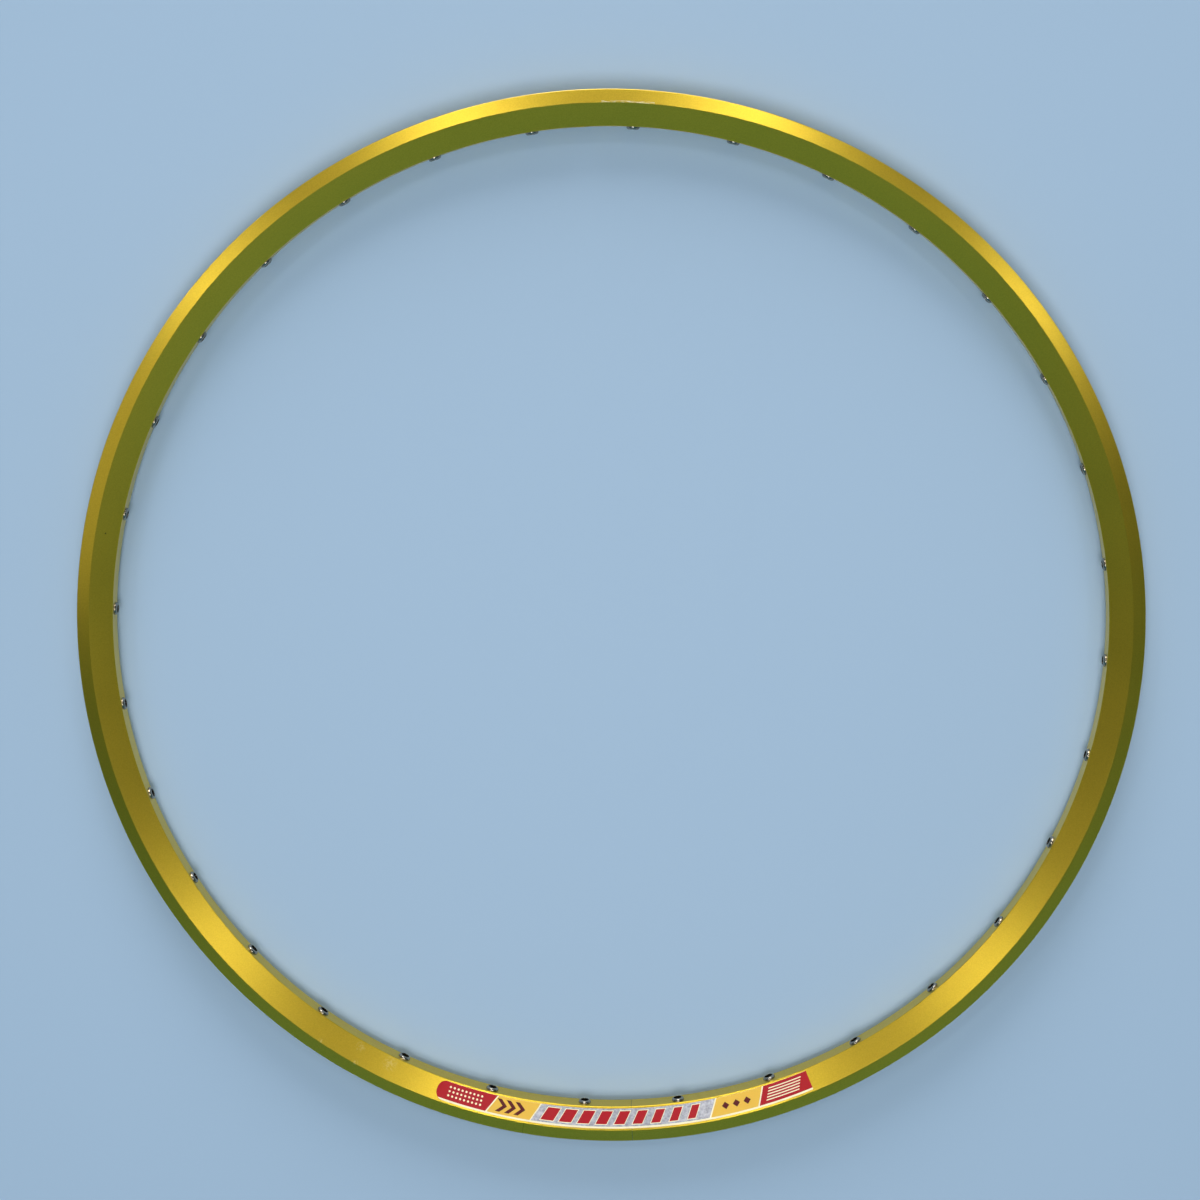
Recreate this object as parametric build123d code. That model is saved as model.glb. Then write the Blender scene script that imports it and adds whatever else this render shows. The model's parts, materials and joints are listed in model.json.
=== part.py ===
from build123d import *

import os
from math import asin, degrees, hypot, sqrt

# Bicycle rim for disc brakes, 26 inch size: a hollow aluminium extrusion rolled into a hoop,
# with steel eyelets for the spokes.
# Millimetres. The rim lies flat with the wheel's axis along +Z and its centre at the origin.
# The labelled side faces +Z, the valve hole is at +Y and the butt joint of the hoop is at -Y.

# Tyre side of the section
bead_seat_diameter = 559.0  # standard bead seat of a 26 inch mountain-bike tyre
bead_seat_width = 2.6
flange_height = 6.0  # from the bead seat to the flange's tip
inner_width = 17.0  # between the two bead hooks
hook_depth = 0.9  # how far a hook stands in over the bead
hook_height = 1.5  # the hook's straight face, below the tip's chamfer
well_depth = 2.6  # from the bead seat down to the floor of the well
well_width = 10.8  # flat floor, wider than the access holes and their stagger

# Outside of the section
outer_width = 23.0  # over the two creases, the widest place
crease_drop = 6.9  # from the flange's tip to the crease
section_height = 18.6  # from the flange's tip to the spoke bed
bed_width = 11.0  # between the sidewalls, at the spoke bed
bed_chamfer = 0.5
tip_width = 1.5
tip_chamfer = 0.45

# Walls
bed_wall = 1.7
side_wall = 1.1
bridge_wall = 1.1
seat_wall = 1.6

# Holes
spoke_count = 32
spoke_stagger = 0.8  # to each side of the middle plane, in turn
access_diameter = 8.5  # lets a nipple in through the bridge
valve_diameter = 8.5

# Eyelets
eyelet_bore = 4.4
eyelet_barrel = 5.2
eyelet_flange = 6.9
eyelet_edge = 0.3  # the flange's straight edge, on the spoke bed
eyelet_crest = 5.0  # across the top, round the bore
eyelet_height = 1.4  # proud of the spoke bed
eyelet_tail = 0.5  # past the inside of the spoke bed
eyelet_clearance = 0.02

# Butt joint and its sleeve
butt_gap = 0.1
sleeve_length = 40.0
sleeve_wall = 1.2
sleeve_clearance = 0.05

# Label
label_width = 11.0
label_thickness = 0.15
label_clearance = 0.1  # the adhesive under the film
label_start = -23.2  # degrees from the butt joint, about the wheel's axis
label_end = 21.4

valve_angle = 90
butt_angle = 270
bead_seat_radius = bead_seat_diameter / 2
tip_radius = bead_seat_radius + flange_height
crease_radius = tip_radius - crease_drop
bed_radius = tip_radius - section_height
bed_inside = bed_radius + bed_wall
well_radius = bead_seat_radius - well_depth
bridge_inside = well_radius - bridge_wall
hook_z = inner_width / 2
flange_z = hook_z + hook_depth
seat_edge_z = flange_z - bead_seat_width


class Wall:
    """A straight wall of the section at +Z, between two points given as (radius, z)."""

    def __init__(self, low, high):
        self.low = low
        self.rise = high[0] - low[0]
        self.run = high[1] - low[1]
        self.length = hypot(self.rise, self.run)

    def point(self, along, out=0.0):
        """A place along the wall from its low end, and out from its face towards +Z."""
        radius = self.low[0] + (along * self.rise - out * self.run) / self.length
        return radius, self.low[1] + (along * self.run + out * self.rise) / self.length

    def z_at(self, radius, out):
        """How far from the middle plane a line beside the wall is, at a radius."""
        return self.low[1] + ((radius - self.low[0]) * self.run + out * self.length) / self.rise


sidewall = Wall((bed_radius, bed_width / 2), (crease_radius, outer_width / 2))
well_side = Wall((well_radius, well_width / 2), (bead_seat_radius, seat_edge_z))


def outer_half():
    """Half of the extrusion's outside, from the well over the hook and the tip to the spoke bed."""
    hook_foot = tip_radius - tip_chamfer - hook_height
    return [
        well_side.point(0),
        well_side.point(well_side.length),
        (bead_seat_radius, flange_z),
        (hook_foot - hook_depth, flange_z),
        (hook_foot, hook_z),
        (tip_radius - tip_chamfer, hook_z),
        (tip_radius, hook_z + tip_chamfer),
        (tip_radius, hook_z + tip_width - tip_chamfer),
        (tip_radius - tip_chamfer, hook_z + tip_width),
        sidewall.point(sidewall.length),
        sidewall.point(bed_chamfer),
        (bed_radius, bed_width / 2 - bed_chamfer),
    ]


def chamber_half(inset):
    """Half of the hollow between the spoke bed and the bridge, drawn in by an inset."""
    floor = bed_inside + inset
    shoulder = bead_seat_radius - seat_wall - inset
    roof = bridge_inside - inset
    return [
        (floor, sidewall.z_at(floor, -side_wall - inset)),
        (shoulder, sidewall.z_at(shoulder, -side_wall - inset)),
        (shoulder, well_side.z_at(shoulder, bridge_wall + inset)),
        (roof, well_side.z_at(roof, bridge_wall + inset)),
    ]


def sleeve_hollow_half():
    """Half of the hollow of the joint sleeve, a plain channel with sloping sides."""
    inset = sleeve_clearance + sleeve_wall
    floor = bed_inside + inset
    roof = bridge_inside - inset
    side = -side_wall - inset
    return [(floor, sidewall.z_at(floor, side)), (roof, sidewall.z_at(roof, side))]


def mirrored_section(half_outline):
    """A closed section in the XZ plane, from the half of its outline that lies at +Z."""
    mirrored = [(radius, -z) for radius, z in reversed(half_outline)]
    return Plane.XZ * make_face(Polyline(*half_outline, *mirrored, close=True))


def swept(outline, start, end):
    """A section carried round the wheel's axis from one angle to another, in degrees."""
    return Rotation(0, 0, start) * revolve(outline, Axis.Z, end - start)


def spoke_places():
    """Angle and distance from the middle plane of each spoke hole, turning from the valve hole."""
    pitch = 360 / spoke_count
    for number in range(spoke_count):
        side = 1 if number % 2 == 0 else -1
        yield valve_angle + (number + 0.5) * pitch, side * spoke_stagger


def radial(angle, z):
    """A frame on the wheel's axis whose Z points out along a spoke."""
    return Rotation(0, 0, angle) * Location((0, 0, z)) * Rotation(0, 90, 0)


def drill(diameter, inner, outer, angle, z=0.0):
    """The tool for a radial hole between two radii."""
    rod = Cylinder(diameter / 2, outer - inner, align=(Align.CENTER, Align.CENTER, Align.MIN))
    return radial(angle, z) * Pos(0, 0, inner) * rod


def rim_hoop():
    """The rolled extrusion, with its ends at the butt joint, drilled for the spokes and the valve."""
    half_gap = degrees(asin(butt_gap / 2 / bed_radius))
    start, end = butt_angle + half_gap, butt_angle + 360 - half_gap
    outside = swept(mirrored_section(outer_half()), start, end)
    chamber = swept(mirrored_section(chamber_half(0)), start, end)
    middle = (bed_inside + bridge_inside) / 2
    below_bed = bed_radius - bed_wall
    spoke_hole = eyelet_barrel + 2 * eyelet_clearance
    tools = [drill(valve_diameter, below_bed, tip_radius, valve_angle)]
    for angle, z in spoke_places():
        tools.append(drill(spoke_hole, below_bed, middle, angle, z))
        tools.append(drill(access_diameter, middle, tip_radius, angle, z))
    return outside - [chamber, *tools]


def spoke_eyelet():
    """One eyelet along +Z from the wheel's axis: a raised flange on the bed, and a barrel through it."""
    flange = eyelet_flange / 2
    # The flat underside meets the hollow of the spoke bed at the flange's edge
    seat = sqrt(bed_radius**2 - flange**2) - eyelet_clearance
    tail = bed_inside + eyelet_tail
    outline = Polyline(
        (eyelet_bore / 2, seat - eyelet_height),
        (eyelet_crest / 2, seat - eyelet_height),
        (flange, seat - eyelet_edge),
        (flange, seat),
        (eyelet_barrel / 2, seat),
        (eyelet_barrel / 2, tail),
        (eyelet_bore / 2, tail),
        close=True,
    )
    return revolve(Plane.XZ * make_face(outline), Axis.Z)


def spoke_eyelets():
    """All the eyelets, one in each spoke hole."""
    eyelet = spoke_eyelet()
    return Compound([radial(angle, z) * eyelet for angle, z in spoke_places()])


def joint_sleeve():
    """The hollow sleeve inside the hoop that holds its two ends in line."""
    half_angle = degrees(asin(sleeve_length / 2 / bed_inside))
    start, end = butt_angle - half_angle, butt_angle + half_angle
    outside = swept(mirrored_section(chamber_half(sleeve_clearance)), start, end)
    return outside - swept(mirrored_section(sleeve_hollow_half()), start, end)


def side_label():
    """The printed label, a thin band of the front sidewall's cone."""
    margin = (sidewall.length - label_width) / 2
    under, over = label_clearance, label_clearance + label_thickness
    corners = [
        sidewall.point(margin, under),
        sidewall.point(margin + label_width, under),
        sidewall.point(margin + label_width, over),
        sidewall.point(margin, over),
    ]
    band = Plane.XZ * make_face(Polyline(*corners, close=True))
    return swept(band, butt_angle + label_start, butt_angle + label_end)


os.makedirs("parts", exist_ok=True)
for build in (rim_hoop, spoke_eyelets, joint_sleeve, side_label):
    export_step(build(), f"parts/{build.__name__}.step")
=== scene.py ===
import json
import math

import bmesh
import bpy
from mathutils import Matrix, Vector


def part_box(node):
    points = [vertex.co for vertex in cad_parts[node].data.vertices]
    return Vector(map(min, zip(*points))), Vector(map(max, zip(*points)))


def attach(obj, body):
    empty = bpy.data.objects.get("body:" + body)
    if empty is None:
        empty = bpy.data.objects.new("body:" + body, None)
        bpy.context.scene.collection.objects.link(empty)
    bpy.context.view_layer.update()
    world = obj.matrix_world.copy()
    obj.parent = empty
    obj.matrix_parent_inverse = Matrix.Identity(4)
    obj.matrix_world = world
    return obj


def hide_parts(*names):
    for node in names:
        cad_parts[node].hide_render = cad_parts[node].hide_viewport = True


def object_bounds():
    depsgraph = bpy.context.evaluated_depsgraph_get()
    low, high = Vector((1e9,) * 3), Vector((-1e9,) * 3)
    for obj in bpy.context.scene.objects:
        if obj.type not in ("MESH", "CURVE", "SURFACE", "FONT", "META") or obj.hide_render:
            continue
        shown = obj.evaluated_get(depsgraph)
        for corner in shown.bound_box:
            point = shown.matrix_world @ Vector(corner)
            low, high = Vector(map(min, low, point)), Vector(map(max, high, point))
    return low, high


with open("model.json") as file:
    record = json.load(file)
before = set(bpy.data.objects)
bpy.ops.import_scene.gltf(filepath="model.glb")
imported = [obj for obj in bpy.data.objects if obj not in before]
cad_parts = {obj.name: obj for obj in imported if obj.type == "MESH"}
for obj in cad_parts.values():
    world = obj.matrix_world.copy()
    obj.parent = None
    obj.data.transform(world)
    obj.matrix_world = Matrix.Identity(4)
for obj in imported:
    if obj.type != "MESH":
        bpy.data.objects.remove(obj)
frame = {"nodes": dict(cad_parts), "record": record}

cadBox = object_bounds()
mm = 0.001  # sizes are written in millimetres, and the scene is in metres
touching = 0.001 * mm  # points closer than this are in the same place
mounts = {mount["name"]: mount for mount in frame["record"]["mounts"]}
spokeHoles = [mount for name, mount in mounts.items() if name.startswith("spoke_hole")]
hoopLow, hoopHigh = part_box("rim_hoop")
buttAngle = math.radians(270)  # the ends of the hoop meet opposite the valve hole
print("frame loaded:", len(frame["nodes"]), "nodes and", len(spokeHoles), "spoke holes")


# Node helpers

noiseLow, noiseHigh = 0.3, 0.7  # most of a noise texture lies between these


def hexColour(code):
    # an sRGB hex value as a linear colour
    channels = [int(code[place:place + 2], 16) / 255 for place in (1, 3, 5)]
    linear = [c / 12.92 if c <= 0.04045 else ((c + 0.055) / 1.055) ** 2.4 for c in channels]
    return (*linear, 1.0)


def addNode(tree, kind, inputs=None, **settings):
    node = tree.nodes.new(kind)
    for name, value in settings.items():
        setattr(node, name, value)
    for socket, value in (inputs or {}).items():
        if isinstance(value, bpy.types.NodeSocket):
            tree.links.new(value, node.inputs[socket])
        else:
            node.inputs[socket].default_value = value
    return node


def newMaterial(name):
    material = bpy.data.materials.new(name)
    material.use_nodes = True
    tree = material.node_tree
    return material, tree, tree.nodes["Principled BSDF"]


def where(tree, *masks):
    # the share to which every mask holds
    held = masks[0]
    for mask in masks[1:]:
        held = addNode(tree, "ShaderNodeMath", {0: held, 1: mask}, operation="MULTIPLY").outputs[0]
    return held


def inside(tree, value, low, high):
    # 1 where a value lies between two limits, and 0 elsewhere
    above = addNode(tree, "ShaderNodeMath", {0: value, 1: low}, operation="GREATER_THAN").outputs[0]
    below = addNode(tree, "ShaderNodeMath", {0: value, 1: high}, operation="LESS_THAN").outputs[0]
    return where(tree, above, below)


def repeats(tree, value, start, pitch):
    # how far a value is past the start of a row, and how far into its place in the row
    past = addNode(tree, "ShaderNodeMath", {0: value, 1: start}, operation="SUBTRACT").outputs[0]
    within = addNode(tree, "ShaderNodeMath", {0: past, 1: pitch}, operation="FLOORED_MODULO").outputs[0]
    return past, within


def layColour(tree, under, code, *masks):
    # lays a colour over what is there, as far as every mask holds
    share = where(tree, *masks)
    return addNode(tree, "ShaderNodeMix", {
        "Factor": share, "A": under, "B": hexColour(code)}, data_type="RGBA").outputs["Result"]


def fillRamp(ramp, stops):
    # a new ramp comes with two stops, and the others are added
    elements = ramp.color_ramp.elements
    for number, (position, code) in enumerate(stops):
        stop = elements[number] if number < 2 else elements.new(position)
        stop.position = position
        stop.color = hexColour(code)


def wheelCoordinates(tree):
    # where a point is on the hoop: radius, angle from the butt joint and height, from Object coordinates
    place = addNode(tree, "ShaderNodeTexCoord").outputs["Object"]
    axes = addNode(tree, "ShaderNodeSeparateXYZ", {0: place}).outputs
    flat = addNode(tree, "ShaderNodeCombineXYZ", {0: axes[0], 1: axes[1]}).outputs[0]
    radius = addNode(tree, "ShaderNodeVectorMath", {0: flat}, operation="LENGTH").outputs["Value"]
    down = addNode(tree, "ShaderNodeMath", {0: axes[1], 1: -1.0}, operation="MULTIPLY").outputs[0]
    angle = addNode(tree, "ShaderNodeMath", {0: axes[0], 1: down}, operation="ARCTAN2").outputs[0]
    return place, radius, angle, axes[2]


# Modelling helpers

def pick(*pieces):
    # selects these pieces alone, the first of them active
    if bpy.context.object and bpy.context.object.mode != "OBJECT":
        bpy.ops.object.mode_set(mode="OBJECT")
    bpy.ops.object.select_all(action="DESELECT")
    for piece in pieces:
        piece.select_set(True)
    if pieces:
        bpy.context.view_layer.objects.active = pieces[0]


def newSquare(name):
    # a small square to start a piece from, in edit mode and selected all over
    pick()
    bpy.ops.mesh.primitive_plane_add(size=mm)
    piece = bpy.context.object
    piece.name = piece.data.name = name
    bpy.ops.object.mode_set(mode="EDIT")
    bpy.ops.mesh.select_all(action="SELECT")
    return piece


def selectPlaces(piece, kind, test):
    # selects the vertices or edges that pass a test with every corner, and nothing else
    bpy.ops.mesh.select_mode(type={"verts": "VERT", "edges": "EDGE"}[kind])
    bpy.ops.mesh.select_all(action="DESELECT")
    mesh = bmesh.from_edit_mesh(piece.data)
    for item in getattr(mesh, kind):
        corners = [item] if kind == "verts" else item.verts
        if all(test(corner.co) for corner in corners):
            item.select_set(True)
    mesh.select_flush_mode()
    bmesh.update_edit_mesh(piece.data)


def selectCorners(piece, corners):
    selectPlaces(piece, "verts", lambda co: any((co - corner).length < touching for corner in corners))


def drawOutline(piece, corners):
    # a closed outline of edges, drawn corner by corner from one point
    bpy.ops.mesh.select_mode(type="VERT")
    bpy.ops.mesh.select_all(action="DESELECT")
    bpy.ops.mesh.primitive_plane_add(size=mm, location=corners[0])
    bpy.ops.mesh.merge(type="CENTER")
    for here, there in zip(corners, corners[1:]):
        bpy.ops.mesh.extrude_region_move(TRANSFORM_OT_translate={"value": there - here})
    selectCorners(piece, (corners[0], corners[-1]))
    bpy.ops.mesh.edge_face_add()


def easeCorners(piece, corners, length, segments):
    # rounds the named corners of an outline, cutting each back by a length along both of its edges
    selectCorners(piece, corners)
    bpy.ops.mesh.bevel(offset=length * mm, segments=segments, affect="VERTICES")


def spinOutline(steps, angle, axis):
    # carries all that is drawn round an axis through the origin
    bpy.ops.mesh.select_all(action="SELECT")
    bpy.ops.mesh.spin(steps=steps, angle=angle, center=(0, 0, 0), axis=axis)
    bpy.ops.mesh.select_all(action="SELECT")
    bpy.ops.mesh.remove_doubles(threshold=touching)


def closeSolid():
    # faces every wall outwards and leaves edit mode
    bpy.ops.mesh.select_all(action="SELECT")
    bpy.ops.mesh.normals_make_consistent(inside=False)
    bpy.ops.object.mode_set(mode="OBJECT")


def applyModifiers(piece):
    pick(piece)
    for modifier in list(piece.modifiers):
        bpy.ops.object.modifier_apply(modifier=modifier.name)


def finishSurface(piece, angle):
    # flat bands stay flat beside the small rounded edges, and only sharp edges break the shading
    pick(piece)
    bpy.ops.object.shade_smooth_by_angle(angle=math.radians(angle))
    weighted = piece.modifiers.new("flatBands", "WEIGHTED_NORMAL")
    weighted.keep_sharp = True
    weighted.weight = 100  # the widest faces decide
    applyModifiers(piece)


def giveFinish(piece, material):
    piece.data.materials.clear()
    piece.data.materials.append(material)


# Hoop

hoop = {
    "steps": 512, "smooth": 30,  # edges sharper than this many degrees break the shading
    "beadSeat": 279.5, "seatWidth": 2.6, "wellFloor": 276.9, "wellWidth": 10.8,
    "hookWidth": 17.0, "hookDepth": 0.9, "hookHeight": 1.95, "tipWidth": 1.5,
    "crease": 278.6, "bed": 266.9, "bedWidth": 11.0,
    "bedWall": 1.7, "sideWall": 1.1, "bridgeWall": 1.1, "seatWall": 1.6,
    "tipEase": 0.3, "bedEase": 0.25, "hookEase": 0.35, "wellEase": 0.8, "easeSegments": 4,
    "buttGap": 0.03, "buttEase": 0.02,
    "boxMargin": 0.01,  # how far the hoop stays inside the solid's box
    "eyeletHole": 5.24, "accessHole": 8.5, "drillSides": 48,
}
tipRadius = min(hoopHigh[0], hoopHigh[1], -hoopLow[0], -hoopLow[1]) / mm - hoop["boxMargin"]
creaseZ = hoopHigh[2] / mm - hoop["boxMargin"]
hookZ = hoop["hookWidth"] / 2
flangeZ = hookZ + hoop["hookDepth"]
hookFoot = tipRadius - hoop["hookHeight"]
seatEdgeZ = flangeZ - hoop["seatWidth"]
bedZ = hoop["bedWidth"] / 2


def onHoop(radius, z, angle):
    return Vector((radius * math.cos(angle), radius * math.sin(angle), z)) * mm


def alongLine(low, high, radius, out):
    # how far from the middle plane a line beside a wall is, at a radius
    rise, run = high[0] - low[0], high[1] - low[1]
    return low[1] + ((radius - low[0]) * run + out * math.hypot(rise, run)) / rise


def wallZ(radius, out):
    return alongLine((hoop["bed"], bedZ), (hoop["crease"], creaseZ), radius, out)


def wellZ(radius, out):
    floorEdge = (hoop["wellFloor"], hoop["wellWidth"] / 2)
    return alongLine(floorEdge, (hoop["beadSeat"], seatEdgeZ), radius, out)


def hoopOutline():
    # half of the extrusion's outside, as radius and height, from the well over the tip to the spoke bed
    return {
        "well": [(hoop["wellFloor"], hoop["wellWidth"] / 2), (hoop["beadSeat"], seatEdgeZ)],
        "seat": [(hoop["beadSeat"], flangeZ), (hookFoot - hoop["hookDepth"], flangeZ), (hookFoot, hookZ)],
        "tip": [(tipRadius, hookZ), (tipRadius, hookZ + hoop["tipWidth"])],
        "crease": [(hoop["crease"], creaseZ)],
        "bed": [(hoop["bed"], bedZ)],
    }


def hollowOutline():
    # half of the hollow between the spoke bed and the bridge
    floor = hoop["bed"] + hoop["bedWall"]
    shoulder = hoop["beadSeat"] - hoop["seatWall"]
    roof = hoop["wellFloor"] - hoop["bridgeWall"]
    return [
        (floor, wallZ(floor, -hoop["sideWall"])),
        (shoulder, wallZ(shoulder, -hoop["sideWall"])),
        (shoulder, wellZ(shoulder, hoop["bridgeWall"])),
        (roof, wellZ(roof, hoop["bridgeWall"])),
    ]


def bothSides(half, angle):
    # a half outline and its mirror image, stood up at an angle round the hoop
    whole = half + [(radius, -z) for radius, z in reversed(half)]
    return [onHoop(radius, z, angle) for radius, z in whole]


def buildHoop():
    piece = newSquare("rimHoop")
    bpy.ops.mesh.delete(type="VERT")  # leaves an empty mesh to draw in
    gapAngle = (hoop["buttGap"] / 2 + hoop["buttEase"]) / hoop["bed"]
    start = buttAngle + gapAngle
    sweep = 2 * math.pi - 2 * gapAngle
    outline = hoopOutline()
    drawOutline(piece, bothSides([corner for corners in outline.values() for corner in corners], start))
    eases = {"well": "wellEase", "seat": "hookEase", "tip": "tipEase", "bed": "bedEase"}
    for place, ease in eases.items():
        easeCorners(piece, bothSides(outline[place], start), hoop[ease], hoop["easeSegments"])
    drawOutline(piece, bothSides(hollowOutline(), start))
    spinOutline(hoop["steps"], -sweep, (0, 0, 1))  # turns from +X to +Y
    for end in (start, start + sweep):
        across = Vector((-math.sin(end), math.cos(end), 0))
        outward = Vector((math.cos(end), math.sin(end), 0))
        selectPlaces(piece, "edges", lambda co: abs(co.dot(across)) < touching and co.dot(outward) > 0)
        bpy.ops.mesh.fill()
        bpy.ops.mesh.inset(thickness=hoop["buttEase"] * mm, depth=0)
    closeSolid()
    return piece


def radialDrill(mount, diameter, low, high):
    # a drill along a mount's axis, between two radii
    axis = Vector(mount["axis"])
    middle = axis * (low + high) / 2 * mm
    middle.z = mount["pos_m"][2]
    turn = Vector((0, 0, 1)).rotation_difference(axis).to_euler()
    bpy.ops.mesh.primitive_cylinder_add(
        vertices=hoop["drillSides"], radius=diameter / 2 * mm, depth=(high - low) * mm,
        location=middle, rotation=turn)
    return bpy.context.object


def drillHoop(piece):
    pick()
    middle = (hoop["bed"] + hoop["wellFloor"]) / 2
    below = hoop["bed"] - hoop["bedWall"]
    valve = mounts["valve_hole"]
    drills = [radialDrill(valve, valve["dims"]["r_mm"] * 2, below, tipRadius)]
    for mount in spokeHoles:
        drills.append(radialDrill(mount, hoop["eyeletHole"], below, middle))
        drills.append(radialDrill(mount, hoop["accessHole"], middle, tipRadius))
    pick(*drills)
    bpy.ops.object.join()
    cutter = bpy.context.object
    cut = piece.modifiers.new("drilledHoles", "BOOLEAN")
    cut.operation = "DIFFERENCE"
    cut.solver = "MANIFOLD"
    cut.object = cutter
    applyModifiers(piece)
    bpy.data.objects.remove(cutter)


rimHoop = buildHoop()
drillHoop(rimHoop)
finishSurface(rimHoop, hoop["smooth"])
print("hoop:", len(rimHoop.data.polygons), "faces")


# Eyelets

eyelet = {
    "steps": 40, "smooth": 40,
    "flange": 6.9, "edge": 0.3, "crest": 5.0, "shoulder": 6.3, "shoulderDrop": 0.4, "barrel": 5.2,
    "clearance": 0.02,
    "mouthEase": 0.12, "crestEase": 0.12, "shoulderEase": 0.3, "edgeEase": 0.12, "easeSegments": 4,
}
firstHole = spokeHoles[0]
boreRadius = firstHole["dims"]["r_mm"]
boreMiddle = Vector(firstHole["pos_m"]).xy.length / mm
eyeletTop = boreMiddle - firstHole["dims"]["length_mm"] / 2
eyeletTail = boreMiddle + firstHole["dims"]["length_mm"] / 2
eyeletSeat = math.sqrt(hoop["bed"] ** 2 - (eyelet["flange"] / 2) ** 2) - eyelet["clearance"]


def intoHole(mount):
    # carries an eyelet that lies along +X to its own spoke hole
    axis = Vector(mount["axis"])
    turned = Matrix.Rotation(math.atan2(axis.y, axis.x), 4, "Z")
    return Matrix.Translation((0, 0, mount["pos_m"][2])) @ turned


def buildEyelets():
    # one eyelet along +X, a pressed ring with a rounded crest, is copied to every spoke hole
    model = newSquare("eyelet")
    bpy.ops.mesh.delete(type="VERT")  # leaves an empty mesh to draw in
    outline = {
        "mouth": (boreRadius, eyeletTop),
        "crest": (eyelet["crest"] / 2, eyeletTop),
        "shoulder": (eyelet["shoulder"] / 2, eyeletTop + eyelet["shoulderDrop"]),
        "edge": (eyelet["flange"] / 2, eyeletSeat - eyelet["edge"]),
        "foot": (eyelet["flange"] / 2, eyeletSeat),
        "neck": (eyelet["barrel"] / 2, eyeletSeat),
        "tail": (eyelet["barrel"] / 2, eyeletTail),
        "end": (boreRadius, eyeletTail),
    }
    corners = {place: Vector((along, out, 0)) * mm for place, (out, along) in outline.items()}
    drawOutline(model, list(corners.values()))
    for place in ("mouth", "crest", "shoulder", "edge"):
        easeCorners(model, [corners[place]], eyelet[place + "Ease"], eyelet["easeSegments"])
    spinOutline(eyelet["steps"], 2 * math.pi, (1, 0, 0))
    closeSolid()
    copies = []
    for mount in spokeHoles:
        pick(model)
        bpy.ops.object.duplicate(linked=False)
        copies.append(bpy.context.object)
        copies[-1].data.transform(intoHole(mount))
    bpy.data.objects.remove(model)
    pick(*copies)
    bpy.ops.object.join()
    piece = bpy.context.object
    piece.name = piece.data.name = "spokeEyelets"
    return piece


spokeEyelets = buildEyelets()
finishSurface(spokeEyelets, eyelet["smooth"])
print("eyelets:", len(spokeEyelets.data.polygons), "faces")


# Label

label = {
    "start": -23.2, "end": 21.4,  # degrees from the butt joint
    "width": 11.0, "thickness": 0.23, "clearance": 0.02,  # the film and the adhesive under it
    "leftEase": 4.8, "rightEase": 0.4, "easeSegments": 8, "cells": 170, "smooth": 30,
}
sideLength = math.hypot(hoop["crease"] - hoop["bed"], creaseZ - bedZ)
sideRise = (hoop["crease"] - hoop["bed"]) / sideLength
sideRun = (creaseZ - bedZ) / sideLength
labelRadius = hoop["bed"] + sideRise * sideLength / 2
labelStart = math.radians(label["start"])
labelSpan = math.radians(label["end"] - label["start"])
labelLength = labelRadius * labelSpan


def onSidewall(flat):
    # a place on the flat label, laid on the front sidewall
    angle = buttAngle + labelStart + (flat.x / mm / labelLength + 0.5) * labelSpan
    along = sideLength / 2 + flat.y / mm
    out = label["clearance"] + flat.z / mm
    radius = hoop["bed"] + along * sideRise - out * sideRun
    return onHoop(radius, bedZ + along * sideRun + out * sideRise, angle)


def buildLabel():
    # the film is cut flat with rounded corners, scored across so that it can bend, and laid on the sidewall
    piece = newSquare("sideLabel")
    bpy.ops.transform.resize(value=(labelLength, label["width"], 1))
    for side, ease in ((-1, "leftEase"), (1, "rightEase")):
        end = side * labelLength / 2 * mm
        selectPlaces(piece, "verts", lambda co: abs(co.x - end) < touching)
        bpy.ops.mesh.bevel(offset=label[ease] * mm, segments=label["easeSegments"], affect="VERTICES")
    for cell in range(1, label["cells"]):
        bpy.ops.mesh.select_all(action="SELECT")
        across = (cell / label["cells"] - 0.5) * labelLength * mm
        bpy.ops.mesh.bisect(plane_co=(across, 0, 0), plane_no=(1, 0, 0))
    bpy.ops.object.mode_set(mode="OBJECT")
    film = piece.modifiers.new("film", "SOLIDIFY")
    film.thickness = label["thickness"] * mm
    film.offset = 1
    applyModifiers(piece)
    for vertex in piece.data.vertices:
        vertex.co = onSidewall(vertex.co)
    bpy.ops.object.mode_set(mode="EDIT")
    closeSolid()  # laying it on the sidewall turns its faces inwards
    return piece


sideLabel = buildLabel()
finishSurface(sideLabel, label["smooth"])
print("label:", len(sideLabel.data.polygons), "faces")


# Finish of the hoop

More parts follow.
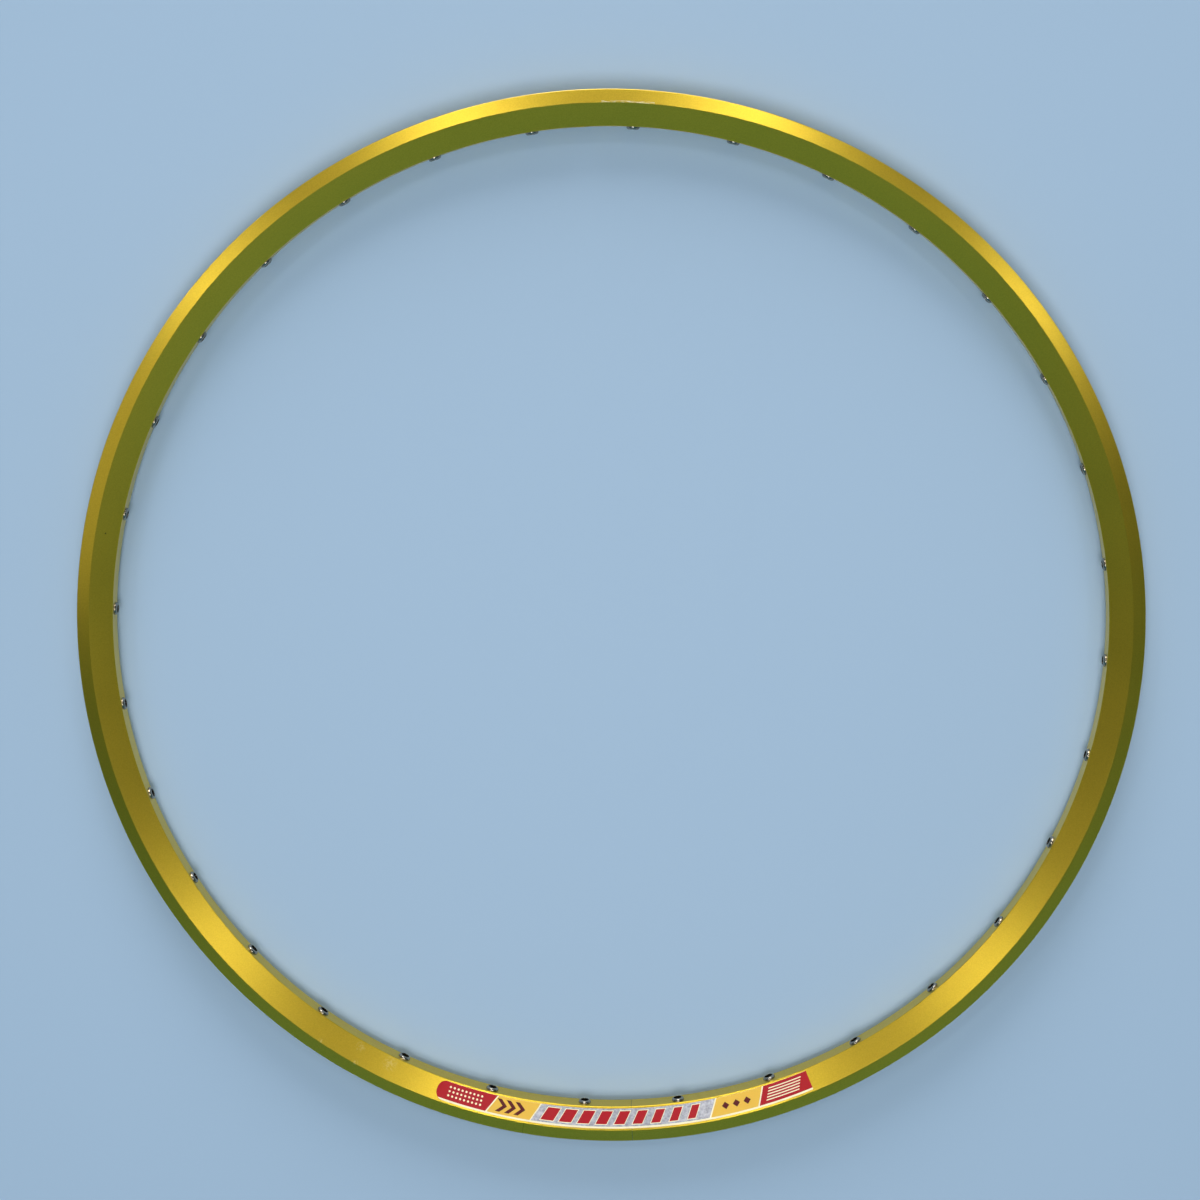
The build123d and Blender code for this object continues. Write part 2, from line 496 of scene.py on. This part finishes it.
anodised = {
    # the pale worn colour lightens the scuffs, and the outer edge of the flanges, where it is partly wear
    # and partly a painted highlight
    "gold": "#e3c03e", "deepGold": "#c9a52e", "wornAndHighlight": "#f7efc6", "rubbed": "#f3dd8c", "nick": "#6b5a1c",
    "roughness": 0.28, "roughnessSpread": 0.005, "cloud": 30.0,
    "anisotropy": 0.3, "anisotropyTurn": 0.25,  # the turn is a share of a whole one
    # the pits that blasting leaves, far finer on the real hoop and drawn this coarse so that they show
    "grain": 0.7, "grainShare": 0.45, "relief": 0.0015,
    # scuffs beside the crease, opposite the butt joint: fine broken rubs, drawn out along the hoop
    "scuffFrom": 172.2, "scuffTo": 177.8, "scuffSize": 0.9,
    "scuffGrain": 0.3, "scuffStretch": 10.0, "scuffLow": 0.48, "scuffHigh": 0.58,
    # rubbed spots on the front sidewall: degrees from the butt joint, radius, size and share of wear
    "rubs": [
        (-37.8, 277.9, 1.5, 0.8), (-33.05, 278.0, 1.7, 0.8),
        (-33.4, 270.2, 3.4, 0.45), (-29.4, 270.9, 5.0, 0.45)],
    "rubGrain": 1.3, "rubLow": 0.46, "rubHigh": 0.6,
    # the outer edge of the flanges is painted paler: partly wear, and partly a painted highlight where the
    # rounded tip catches the light
    "edgeWearAndHighlight": 0.6, "edgeWearAndHighlightShare": 0.3,
    "seamWidth": 0.3, "seamShare": 0.6,
    "scratchAngle": -12.44, "scratchWidth": 0.3, "scratchShare": 0.4,
    "nickAngle": -104.5, "nickRadius": 273.7, "nickSize": 0.55,
}


def awayFrom(tree, place, degrees, radius):
    # how far a point is from a place on the front sidewall, given by its angle from the butt joint
    spot = onHoop(radius, wallZ(radius, 0), buttAngle + math.radians(degrees))
    return addNode(tree, "ShaderNodeVectorMath", {0: place, 1: spot}, operation="DISTANCE").outputs["Value"]


def anodisedAluminium():
    # gold anodised aluminium, extruded and satin blasted: a yellow metal with soft highlights and fine grain
    material, tree, shader = newMaterial("goldAnodisedAluminium")
    place, radius, angle, height = wheelCoordinates(tree)
    onFront = inside(tree, height, 0.0, creaseZ * mm)
    grain = addNode(tree, "ShaderNodeTexNoise", {
        "Vector": place, "Scale": 1 / (anodised["grain"] * mm), "Detail": 2.0}).outputs["Fac"]
    cloud = addNode(tree, "ShaderNodeTexNoise", {
        "Vector": place, "Scale": 1 / (anodised["cloud"] * mm), "Detail": 3.0}).outputs["Fac"]
    tone = addNode(tree, "ShaderNodeMapRange", {
        0: grain, 1: noiseLow, 2: noiseHigh, 3: 0.0, 4: anodised["grainShare"]}).outputs[0]
    colour = layColour(tree, hexColour(anodised["gold"]), anodised["deepGold"], tone)

    run = addNode(tree, "ShaderNodeMath", {
        0: angle, 1: labelRadius * mm / anodised["scuffStretch"]}, operation="MULTIPLY").outputs[0]
    scuffPlace = addNode(tree, "ShaderNodeCombineXYZ", {0: radius, 1: height, 2: run}).outputs[0]
    scuffGrain = addNode(tree, "ShaderNodeTexNoise", {
        "Vector": scuffPlace, "Scale": 1 / (anodised["scuffGrain"] * mm), "Detail": 3.0}).outputs["Fac"]
    scuffs = addNode(tree, "ShaderNodeMapRange", {
        0: scuffGrain, 1: anodised["scuffLow"], 2: anodised["scuffHigh"]}).outputs[0]
    besideCrease = inside(tree, radius, hoop["crease"] * mm, (hoop["crease"] + anodised["scuffSize"]) * mm)
    onTop = inside(tree, angle, math.radians(anodised["scuffFrom"]), math.radians(anodised["scuffTo"]))
    colour = layColour(tree, colour, anodised["wornAndHighlight"], scuffs, besideCrease, onFront, onTop)

    rubGrain = addNode(tree, "ShaderNodeTexNoise", {
        "Vector": place, "Scale": 1 / (anodised["rubGrain"] * mm), "Detail": 3.0}).outputs["Fac"]
    mottled = addNode(tree, "ShaderNodeMapRange", {
        0: rubGrain, 1: anodised["rubLow"], 2: anodised["rubHigh"]}).outputs[0]
    for rubAngle, rubRadius, size, wear in anodised["rubs"]:
        rubAway = awayFrom(tree, place, rubAngle, rubRadius)
        rubCore = size / 3  # a spot has its whole wear as far as this, and fades to its edge
        rubbed = addNode(tree, "ShaderNodeMapRange", {
            0: rubAway, 1: size * mm, 2: rubCore * mm, 3: 0.0, 4: wear}).outputs[0]
        colour = layColour(tree, colour, anodised["rubbed"], rubbed, mottled)

    # wear and painted highlight: the outermost part of the flanges is painted paler towards the tip
    edgeWearAndHighlight = addNode(tree, "ShaderNodeMapRange", {
        0: radius, 1: (tipRadius - anodised["edgeWearAndHighlight"]) * mm, 2: tipRadius * mm,
        3: 0.0, 4: anodised["edgeWearAndHighlightShare"]}).outputs[0]
    colour = layColour(tree, colour, anodised["wornAndHighlight"], edgeWearAndHighlight, cloud)

    # dark lines: the seam of the butt joint, and a scratch across the bevel beside it
    seamHalf = anodised["seamWidth"] / 2 / labelRadius
    seam = inside(tree, angle, -seamHalf, seamHalf)
    colour = layColour(tree, colour, anodised["nick"], seam, anodised["seamShare"])
    scratchAngle = math.radians(anodised["scratchAngle"])
    scratchHalf = anodised["scratchWidth"] / 2 / hoop["crease"]
    scratch = inside(tree, angle, scratchAngle - scratchHalf, scratchAngle + scratchHalf)
    onBevel = inside(tree, radius, hoop["crease"] * mm, tipRadius * mm)
    colour = layColour(tree, colour, anodised["nick"], scratch, onBevel, onFront, anodised["scratchShare"])
    nickAway = awayFrom(tree, place, anodised["nickAngle"], anodised["nickRadius"])
    nicked = addNode(tree, "ShaderNodeMapRange", {
        0: nickAway, 1: anodised["nickSize"] * mm, 2: anodised["nickSize"] / 2 * mm}).outputs[0]
    colour = layColour(tree, colour, anodised["nick"], nicked)
    tree.links.new(colour, shader.inputs["Base Color"])

    rough = addNode(tree, "ShaderNodeMapRange", {
        0: cloud, 1: noiseLow, 2: noiseHigh,
        3: anodised["roughness"] - anodised["roughnessSpread"],
        4: anodised["roughness"] + anodised["roughnessSpread"]}).outputs[0]
    tree.links.new(rough, shader.inputs["Roughness"])
    pits = addNode(tree, "ShaderNodeBump", {
        "Height": grain, "Strength": 1.0, "Distance": anodised["relief"] * mm}).outputs[0]
    tree.links.new(pits, shader.inputs["Normal"])
    # the extrusion is drawn along the hoop, so it shines more widely across than along
    around = addNode(tree, "ShaderNodeTangent", direction_type="RADIAL", axis="Z").outputs[0]
    tree.links.new(around, shader.inputs["Tangent"])
    shader.inputs["Anisotropic"].default_value = anodised["anisotropy"]
    shader.inputs["Anisotropic Rotation"].default_value = anodised["anisotropyTurn"]
    shader.inputs["Metallic"].default_value = 1.0
    return material


giveFinish(rimHoop, anodisedAluminium())


# Finish of the eyelets

steel = {"bright": "#c2bbad", "dull": "#69645a", "roughness": 0.22, "roughnessSpread": 0.04, "stain": 1.5}


def platedSteel():
    # plated steel, pressed to shape: a hard white metal with small highlights, a little dulled in places
    material, tree, shader = newMaterial("platedSteel")
    place = addNode(tree, "ShaderNodeTexCoord").outputs["Object"]
    stain = addNode(tree, "ShaderNodeTexNoise", {
        "Vector": place, "Scale": 1 / (steel["stain"] * mm), "Detail": 3.0}).outputs["Fac"]
    colour = layColour(tree, hexColour(steel["bright"]), steel["dull"], stain)
    tree.links.new(colour, shader.inputs["Base Color"])
    rough = addNode(tree, "ShaderNodeMapRange", {
        0: stain, 1: noiseLow, 2: noiseHigh,
        3: steel["roughness"] - steel["roughnessSpread"],
        4: steel["roughness"] + steel["roughnessSpread"]}).outputs[0]
    tree.links.new(rough, shader.inputs["Roughness"])
    shader.inputs["Metallic"].default_value = 1.0
    return material


giveFinish(spokeEyelets, platedSteel())


# Finish of the joint sleeve

sleeve = {"pale": "#c9cacc", "dark": "#a3a5a9", "roughness": 0.4, "lineWidth": 0.6, "stretch": 0.02}


def extrudedAluminium():
    # plain extruded aluminium: a grey metal with faint lines along its length
    material, tree, shader = newMaterial("extrudedAluminium")
    place = addNode(tree, "ShaderNodeTexCoord").outputs["Object"]
    stretched = addNode(tree, "ShaderNodeMapping", {
        "Vector": place, "Scale": (sleeve["stretch"], 1.0, 1.0)}).outputs[0]
    lines = addNode(tree, "ShaderNodeTexNoise", {
        "Vector": stretched, "Scale": 1 / (sleeve["lineWidth"] * mm), "Detail": 3.0}).outputs["Fac"]
    colour = layColour(tree, hexColour(sleeve["pale"]), sleeve["dark"], lines)
    tree.links.new(colour, shader.inputs["Base Color"])
    shader.inputs["Roughness"].default_value = sleeve["roughness"]
    shader.inputs["Metallic"].default_value = 1.0
    return material


giveFinish(frame["nodes"]["joint_sleeve"], extrudedAluminium())


# Print of the label: lengths in millimetres, and places along it as a share of its length

inks = {
    "red": "#b5131f", "maroon": "#5c0c14", "gold": "#f3c04a", "cream": "#fff3cf",
    "silver": "#c8c7cd", "greySilver": "#9c9ba5",
    # where each field starts
    "fields": [
        (0.0, "red"), (0.148, "cream"), (0.152, "gold"), (0.264, "cream"), (0.268, "silver"),
        (0.734, "cream"), (0.738, "gold"), (0.861, "cream"), (0.865, "red")],
    # the border is a cream line along both long edges; beside the spoke bed it is a painted highlight on the
    # film's edge
    "border": 0.55, "slant": 0.5,
    "barFrom": 0.288, "barTo": 0.7205, "barPitch": 10.2, "barWidest": 7.4, "barThinnest": 4.2,
    "barLow": 1.9, "barHigh": 9.1, "outline": 0.4,
    "chevronFrom": 0.178, "chevrons": 3, "chevronPitch": 5.2, "chevronWidth": 2.6,
    "gemFrom": 0.755, "gems": 3, "gemPitch": 6.2, "gemSize": 2.1,
    "dotFrom": 6.0, "dots": 9, "dotPitch": 2.3, "dotSize": 1.2,
    "dotLow": 1.9, "dotRows": 3, "dotRowPitch": 2.4,
    "stripeFrom": 0.884, "stripeTo": 0.974,
    "stripeLow": 2.2, "stripes": 5, "stripePitch": 1.5, "stripeWidth": 0.6,
    "mottle": 1.6, "mottleLow": 0.35, "mottleHigh": 0.65,
    "roughness": 0.32, "specular": 0.25, "silverMetal": 0.85,
}


def printedFilm():
    # printed vinyl film: flat bright inks with a soft shine, and a silver ground of metal flake
    material, tree, shader = newMaterial("printedFilm")
    place, _, angle, height = wheelCoordinates(tree)
    along = addNode(tree, "ShaderNodeMapRange", {
        0: angle, 1: labelStart, 2: labelStart + labelSpan, 3: 0.0, 4: labelLength}, clamp=False).outputs[0]
    labelLow = bedZ + (sideLength - label["width"]) / 2 * sideRun
    across = addNode(tree, "ShaderNodeMapRange", {
        0: height, 1: labelLow * mm, 2: (labelLow + label["width"] * sideRun) * mm,
        3: 0.0, 4: label["width"]}, clamp=False).outputs[0]
    middle = addNode(tree, "ShaderNodeMath", {
        0: across, 1: label["width"] / 2}, operation="SUBTRACT").outputs[0]
    fromMiddle = addNode(tree, "ShaderNodeMath", {0: middle}, operation="ABSOLUTE").outputs[0]
    slanted = addNode(tree, "ShaderNodeMath", {
        0: middle, 1: inks["slant"], 2: along}, operation="MULTIPLY_ADD").outputs[0]
    share = addNode(tree, "ShaderNodeMath", {0: slanted, 1: labelLength}, operation="DIVIDE").outputs[0]

    fields = addNode(tree, "ShaderNodeValToRGB", {0: share})
    fields.color_ramp.interpolation = "CONSTANT"
    fillRamp(fields, [(start, inks[ink]) for start, ink in inks["fields"]])
    silverFrom = next(start for start, ink in inks["fields"] if ink == "silver")
    silverTo = next(start for start, ink in inks["fields"] if start > silverFrom)
    onSilver = inside(tree, share, silverFrom, silverTo)
    flake = addNode(tree, "ShaderNodeTexNoise", {
        "Vector": place, "Scale": 1 / (inks["mottle"] * mm), "Detail": 4.0}).outputs["Fac"]
    cloudy = addNode(tree, "ShaderNodeMapRange", {
        0: flake, 1: inks["mottleLow"], 2: inks["mottleHigh"]}).outputs[0]
    colour = layColour(tree, fields.outputs["Color"], inks["greySilver"], cloudy, onSilver)

    # slanted bars on the silver, thinning towards one end, each with a cream outline
    barWidth = addNode(tree, "ShaderNodeMapRange", {
        0: share, 1: inks["barFrom"], 2: inks["barTo"],
        3: inks["barWidest"], 4: inks["barThinnest"]}).outputs[0]
    inBar = repeats(tree, slanted, inks["barFrom"] * labelLength, inks["barPitch"])[1]
    filled = addNode(tree, "ShaderNodeMath", {0: barWidth, 1: inks["outline"]}, operation="ADD").outputs[0]
    outlined = addNode(tree, "ShaderNodeMath", {0: filled, 1: inks["outline"]}, operation="ADD").outputs[0]
    barRange = inside(tree, share, inks["barFrom"], inks["barTo"])
    outlineRows = inside(tree, across, inks["barLow"] - inks["outline"], inks["barHigh"] + inks["outline"])
    outlines = where(tree, inside(tree, inBar, 0.0, outlined), outlineRows, barRange)
    barRows = inside(tree, across, inks["barLow"], inks["barHigh"])
    bars = inside(tree, inBar, inks["outline"], filled)
    colour = layColour(tree, colour, inks["cream"], outlines)
    colour = layColour(tree, colour, inks["red"], bars, barRows, barRange)

    # chevrons on the first gold field, and gems on the second
    bent = addNode(tree, "ShaderNodeMath", {0: along, 1: fromMiddle}, operation="ADD").outputs[0]
    pastChevron, inChevron = repeats(tree, bent, inks["chevronFrom"] * labelLength, inks["chevronPitch"])
    chevrons = inside(tree, inChevron, 0.0, inks["chevronWidth"])
    chevronRange = inside(tree, pastChevron, 0.0, inks["chevrons"] * inks["chevronPitch"])
    colour = layColour(tree, colour, inks["maroon"], chevrons, chevronRange, barRows)
    pastGem, inGem = repeats(tree, along, inks["gemFrom"] * labelLength, inks["gemPitch"])
    gemSide = addNode(tree, "ShaderNodeMath", {
        0: inGem, 1: inks["gemPitch"] / 2}, operation="SUBTRACT").outputs[0]
    gemAway = addNode(tree, "ShaderNodeMath", {0: gemSide}, operation="ABSOLUTE").outputs[0]
    gemReach = addNode(tree, "ShaderNodeMath", {0: gemAway, 1: fromMiddle}, operation="ADD").outputs[0]
    gems = addNode(tree, "ShaderNodeMath", {
        0: gemReach, 1: inks["gemSize"]}, operation="LESS_THAN").outputs[0]
    gemRange = inside(tree, pastGem, 0.0, inks["gems"] * inks["gemPitch"])
    colour = layColour(tree, colour, inks["maroon"], gems, gemRange)

    # rows of dots on the first red field, and thin stripes on the second
    pastDot, inDot = repeats(tree, along, inks["dotFrom"], inks["dotPitch"])
    pastRow, inRow = repeats(tree, across, inks["dotLow"], inks["dotRowPitch"])
    dotPlace = addNode(tree, "ShaderNodeCombineXYZ", {0: inDot, 1: inRow}).outputs[0]
    dotMiddle = (inks["dotPitch"] / 2, inks["dotRowPitch"] / 2, 0)
    dotAway = addNode(tree, "ShaderNodeVectorMath", {
        0: dotPlace, 1: dotMiddle}, operation="DISTANCE").outputs["Value"]
    dots = addNode(tree, "ShaderNodeMath", {
        0: dotAway, 1: inks["dotSize"] / 2}, operation="LESS_THAN").outputs[0]
    dotRange = inside(tree, pastDot, 0.0, inks["dots"] * inks["dotPitch"])
    dotRows = inside(tree, pastRow, 0.0, inks["dotRows"] * inks["dotRowPitch"])
    colour = layColour(tree, colour, inks["cream"], dots, dotRange, dotRows)
    pastStripe, inStripe = repeats(tree, across, inks["stripeLow"], inks["stripePitch"])
    stripes = inside(tree, inStripe, 0.0, inks["stripeWidth"])
    stripeRows = inside(tree, pastStripe, 0.0, inks["stripes"] * inks["stripePitch"])
    stripeRange = inside(tree, share, inks["stripeFrom"], inks["stripeTo"])
    colour = layColour(tree, colour, inks["cream"], stripes, stripeRows, stripeRange)
    # a cream line along both long edges of the label; beside the spoke bed it is a painted highlight on the
    # film's edge
    border = addNode(tree, "ShaderNodeMath", {
        0: fromMiddle, 1: label["width"] / 2 - inks["border"]}, operation="GREATER_THAN").outputs[0]
    colour = layColour(tree, colour, inks["cream"], border)
    tree.links.new(colour, shader.inputs["Base Color"])

    creamLines = addNode(tree, "ShaderNodeMath", {0: outlines, 1: border}, operation="MAXIMUM").outputs[0]
    bare = addNode(tree, "ShaderNodeMath", {
        0: onSilver, 1: creamLines}, operation="SUBTRACT", use_clamp=True).outputs[0]
    tree.links.new(where(tree, bare, inks["silverMetal"]), shader.inputs["Metallic"])
    shader.inputs["Roughness"].default_value = inks["roughness"]
    shader.inputs["Specular IOR Level"].default_value = inks["specular"]
    return material


giveFinish(sideLabel, printedFilm())
print("finishes: done")

for piece, node, slot in (
    (rimHoop, "rim_hoop", "anodised_hoop"),
    (spokeEyelets, "spoke_eyelets", "eyelet_steel"),
    (sideLabel, "side_label", "label_film"),
):
    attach(piece, "root")
    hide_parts(node)


# Floor

stage = {
    "floor": "#aec7e0", "backdrop": "#a4bed7", "roughness": 0.6,
    "size": 60.0, "fadeFrom": 0.6, "fadeTo": 1.8,  # in metres; the floor fades into the backdrop
}


def palePaper():
    # matt paper: a plain pale floor that takes soft shadows, and that turns into an even backdrop far off
    material, tree, shader = newMaterial("palePaper")
    shader.inputs["Base Color"].default_value = hexColour(stage["floor"])
    shader.inputs["Roughness"].default_value = stage["roughness"]
    place = addNode(tree, "ShaderNodeTexCoord").outputs["Object"]
    away = addNode(tree, "ShaderNodeVectorMath", {0: place}, operation="LENGTH").outputs["Value"]
    farOff = addNode(tree, "ShaderNodeMapRange", {
        0: away, 1: stage["fadeFrom"], 2: stage["fadeTo"]}, interpolation_type="SMOOTHSTEP").outputs[0]
    rays = addNode(tree, "ShaderNodeLightPath").outputs
    mirrored = addNode(tree, "ShaderNodeMath", {
        0: rays["Is Glossy Ray"], 1: rays["Is Transmission Ray"]}, operation="MAXIMUM").outputs[0]
    seen = addNode(tree, "ShaderNodeMath", {
        0: rays["Is Camera Ray"], 1: mirrored}, operation="MAXIMUM").outputs[0]
    backdrop = addNode(tree, "ShaderNodeEmission", {"Color": hexColour(stage["backdrop"])}).outputs[0]
    look = addNode(tree, "ShaderNodeMixShader", {
        0: where(tree, farOff, seen), 1: shader.outputs[0], 2: backdrop}).outputs[0]
    tree.links.new(look, tree.nodes["Material Output"].inputs["Surface"])
    return material


pick()
bpy.ops.mesh.primitive_plane_add(size=stage["size"], location=(0, 0, cadBox[0][2]))
floor = bpy.context.object
floor.name = "floor"
giveFinish(floor, palePaper())


# Light

studio = {
    # each soft panel: direction in degrees from +X, reach and height in metres, and share of the power
    "panels": [
        (22.5, 2.85, 4.84, 1.05), (69.5, 2.7, 4.87, 1.45),
        (112.0, 2.86, 4.98, 1.45), (151.5, 3.2, 5.06, 1.25)],
    "panelSize": 0.45, "panelPower": 7.8,
    "overhead": (0, -0.35, 2.4), "overheadSize": 1.1, "overheadPower": 23.5,
    "back": (0, 4.2, 1.7), "backSize": 2.6, "backPower": 115.0,
    "card": (-0.80, 0.12, 0.72), "cardSize": 0.4, "cardPower": 0.17,
    # the room's walls, from the front to the back
    "walls": [(0.2, "#387385"), (0.45, "#364a42"), (0.75, "#666c6e")],
    "horizon": "#a9c1d8", "horizonLow": 0.1, "horizonHigh": 0.3,
    "ceiling": "#5c90b2", "ceilingLow": 0.6, "ceilingHigh": 0.72, "ceilingFrom": -0.35, "ceilingTo": -0.6,
}


def addPanel(name, place, size, power):
    # a round soft panel that faces the rim
    bpy.ops.object.light_add(type="AREA", location=place)
    lamp = bpy.context.object
    lamp.name = name
    lamp.data.shape = "DISK"
    lamp.data.size = size
    lamp.data.energy = power
    lamp.rotation_euler = Vector(place).to_track_quat("Z", "Y").to_euler()
    lamp.visible_camera = False


def dimRoom():
    # a dim room, blue in front and grey behind, with a pale horizon and a lighter ceiling in front
    world = bpy.data.worlds.new("studio")
    world.use_nodes = True
    tree = world.node_tree
    direction = addNode(tree, "ShaderNodeTexCoord").outputs["Generated"]
    towards = addNode(tree, "ShaderNodeSeparateXYZ", {0: direction}).outputs
    backness = addNode(tree, "ShaderNodeMapRange", {0: towards[1], 1: -1.0, 2: 1.0}).outputs[0]
    walls = addNode(tree, "ShaderNodeValToRGB", {0: backness})
    fillRamp(walls, studio["walls"])
    lowness = addNode(tree, "ShaderNodeMapRange", {
        0: towards[2], 1: studio["horizonHigh"], 2: studio["horizonLow"]},
        interpolation_type="SMOOTHSTEP").outputs[0]
    colour = layColour(tree, walls.outputs["Color"], studio["horizon"], lowness)
    highness = addNode(tree, "ShaderNodeMapRange", {
        0: towards[2], 1: studio["ceilingLow"], 2: studio["ceilingHigh"]},
        interpolation_type="SMOOTHSTEP").outputs[0]
    frontness = addNode(tree, "ShaderNodeMapRange", {
        0: towards[1], 1: studio["ceilingFrom"], 2: studio["ceilingTo"]},
        interpolation_type="SMOOTHSTEP").outputs[0]
    colour = layColour(tree, colour, studio["ceiling"], highness, frontness)
    tree.links.new(colour, tree.nodes["Background"].inputs["Color"])
    return world


for number, (azimuth, reach, height, share) in enumerate(studio["panels"], 1):
    turn = math.radians(azimuth)
    place = (reach * math.cos(turn), reach * math.sin(turn), height)
    addPanel(f"panel{number}", place, studio["panelSize"], studio["panelPower"] * share)
for name in ("overhead", "back", "card"):
    addPanel(name, studio[name], studio[name + "Size"], studio[name + "Power"])
bpy.context.scene.world = dimRoom()


# Camera

view = {
    # the place is in millimetres, tilt and lean are in radians, and the turn is in degrees
    "place": (33.05, 241.35, 1302.2), "tilt": -0.20382, "lean": 0.03474, "turn": -2.942,
    "lens": 73.818, "sensor": 36.0, "shift": (0.01236, 0.07105),
}
bpy.ops.object.camera_add()
camera = bpy.context.object
camera.name = "camera"
turned = Matrix.Rotation(math.radians(view["turn"]), 4, "Z")
camera.location = turned @ (Vector(view["place"]) * mm)
camera.rotation_euler = (view["tilt"], view["lean"], math.radians(view["turn"]))
camera.data.sensor_width = view["sensor"]
camera.data.lens = view["lens"]
camera.data.shift_x, camera.data.shift_y = view["shift"]
bpy.context.scene.camera = camera
bpy.context.scene.view_settings.view_transform = "Standard"
print("stage, light and camera: done")
